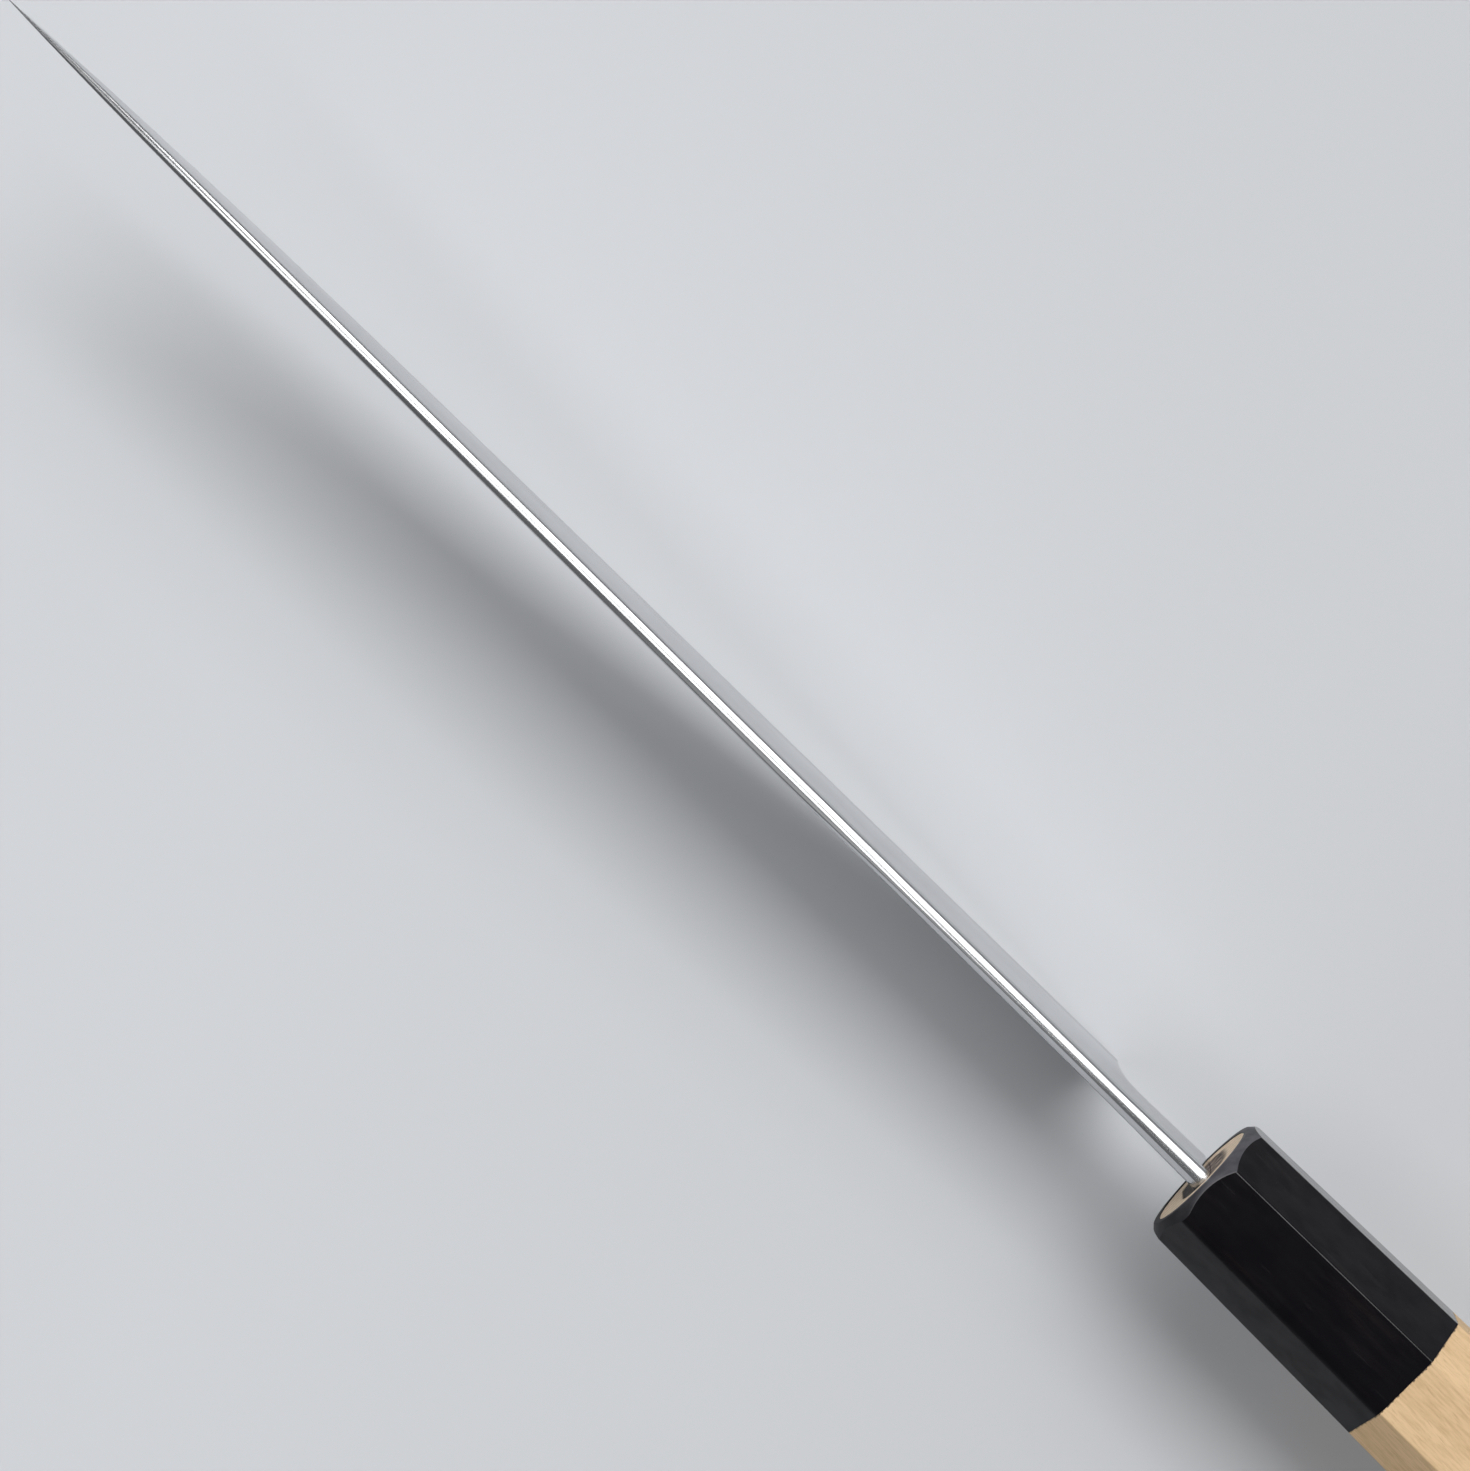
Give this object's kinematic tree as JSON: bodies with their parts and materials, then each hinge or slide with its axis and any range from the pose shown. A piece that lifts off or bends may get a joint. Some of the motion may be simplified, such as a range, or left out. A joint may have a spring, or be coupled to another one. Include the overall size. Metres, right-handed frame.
{
  "type": "gyuto kitchen knife",
  "caption": "Japanese chef's knife: thin tapering steel blade with a rounded spine, hidden tang, black horn ferrule and pale octagonal wooden handle.",
  "frame": {"origin": "under the middle of the knife's length, in the blade's middle plane, at the level of the heel's edge, which is the knife's lowest point with the spine up", "axes": "+X from the butt to the tip along the handle's axis, +Y to the knife's left, +Z from the cutting edge to the spine"},
  "size_m": [0.3684, 0.0238, 0.0525],
  "materials": {
    "steel": "satin faces, polished spine and choil",
    "horn": "rubbed black buffalo horn",
    "magnolia": "bare sanded magnolia wood",
    "resin": "dark hardened resin"
  },
  "bodies": {
    "root": {"blade_with_tang": "steel", "horn_ferrule": "horn", "handle_body": "magnolia", "tang_bedding": "resin"}
  },
  "joints": []
}
